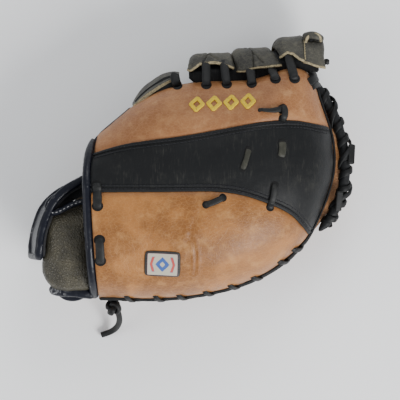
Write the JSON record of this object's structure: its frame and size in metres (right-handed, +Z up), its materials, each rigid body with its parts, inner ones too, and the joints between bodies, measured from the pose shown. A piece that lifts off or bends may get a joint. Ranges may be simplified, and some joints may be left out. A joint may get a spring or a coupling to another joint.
{
  "type": "baseball catcher's mitt",
  "caption": "Padded leather catcher's mitt, folded shut: two padded halves laced round the rim, a web between them, finger stalls, a padded heel and a wrist strap.",
  "frame": {"origin": "middle of the mitt's box, on the surface that it lies on", "axes": "+X from the wrist to the finger tips, +Y from the mouth to the web, +Z up through the thumb half and then the finger half"},
  "size_m": [0.273, 0.262, 0.1132],
  "materials": {
    "tan_leather": "worn full-grain, satin",
    "black_leather": "worn, satin with scuffs",
    "olive_leather": "pebbled and worn, matte",
    "binding": "rolled, glossy",
    "lace": "flat rawhide lace, satin",
    "lining_leather": "thin and soft, matte",
    "felt": "thick wool felt",
    "fleece": "short pile",
    "thread": "satin stitch",
    "badge_fabric": "woven"
  },
  "bodies": {
    "thumb_half": {"thumb_back_panel": "tan_leather", "thumb_fold_panel": "tan_leather", "thumb_lining": "lining_leather", "thumb_padding": "felt", "thumb_palm": "tan_leather", "thumb_welt": "black_leather", "thumb_heel_binding": "binding", "thumb_rim_binding": "binding", "thumb_rim_lace": "lace", "tip_roll": "binding", "tip_roll_lace": "lace", "thumb_stall": "lining_leather", "thumb_heel_pad": "olive_leather", "thumb_web_laces": "lace", "tip_lace_ends": "lace", "heel_lace_knot": "lace", "heel_lace_tail": "lace"},
    "web": {"web_panel": "black_leather", "web_tab_base": "olive_leather", "web_tab_middle": "olive_leather", "web_tab_tip": "olive_leather", "web_end_band": "olive_leather", "fold_roll": "binding", "web_base_strap": "olive_leather", "web_lace_knot": "lace"},
    "finger_half": {"finger_back_pinky_panel": "tan_leather", "finger_back_centre_band": "black_leather", "finger_back_index_panel": "tan_leather", "finger_lining": "lining_leather", "finger_padding": "felt", "finger_palm": "tan_leather", "upper_welt": "black_leather", "lower_welt": "black_leather", "finger_heel_binding": "binding", "finger_rim_binding": "binding", "stall_tie_laces": "lace", "heel_laces": "lace", "finger_rim_lace": "lace", "badge": "badge_fabric", "embroidery": "thread", "little_finger_stall": "lining_leather", "ring_finger_stall": "lining_leather", "middle_finger_stall": "lining_leather", "index_finger_stall": "lining_leather", "heel_cushion": "olive_leather", "cushion_lower_binding": "binding", "cushion_upper_binding": "binding", "wrist_tongue": "lining_leather", "finger_web_laces": "lace"},
    "strap": {"wrist_strap": "black_leather", "strap_fleece": "fleece"}
  },
  "joints": [
    {"name": "web_hinge", "type": "hinge", "parent": "thumb_half", "child": "web", "pos_m": [-0.0036, 0.07763, 0.0275], "axis": [-0.9632, -0.2687, 0], "range_deg": [0, 35]},
    {"name": "finger_hinge", "type": "hinge", "parent": "web", "child": "finger_half", "pos_m": [-0.0036, 0.07763, 0.0675], "axis": [-0.9632, -0.2687, 0], "range_deg": [0, 35]},
    {"name": "strap_hinge", "type": "hinge", "parent": "finger_half", "child": "strap", "pos_m": [-0.0941, -0.00727, 0.065], "axis": [0, 0, -1], "range_deg": [0, 50]}
  ],
  "couplings": [
    {"joint": "web_hinge", "follows": "finger_hinge", "ratio": 1}
  ]
}
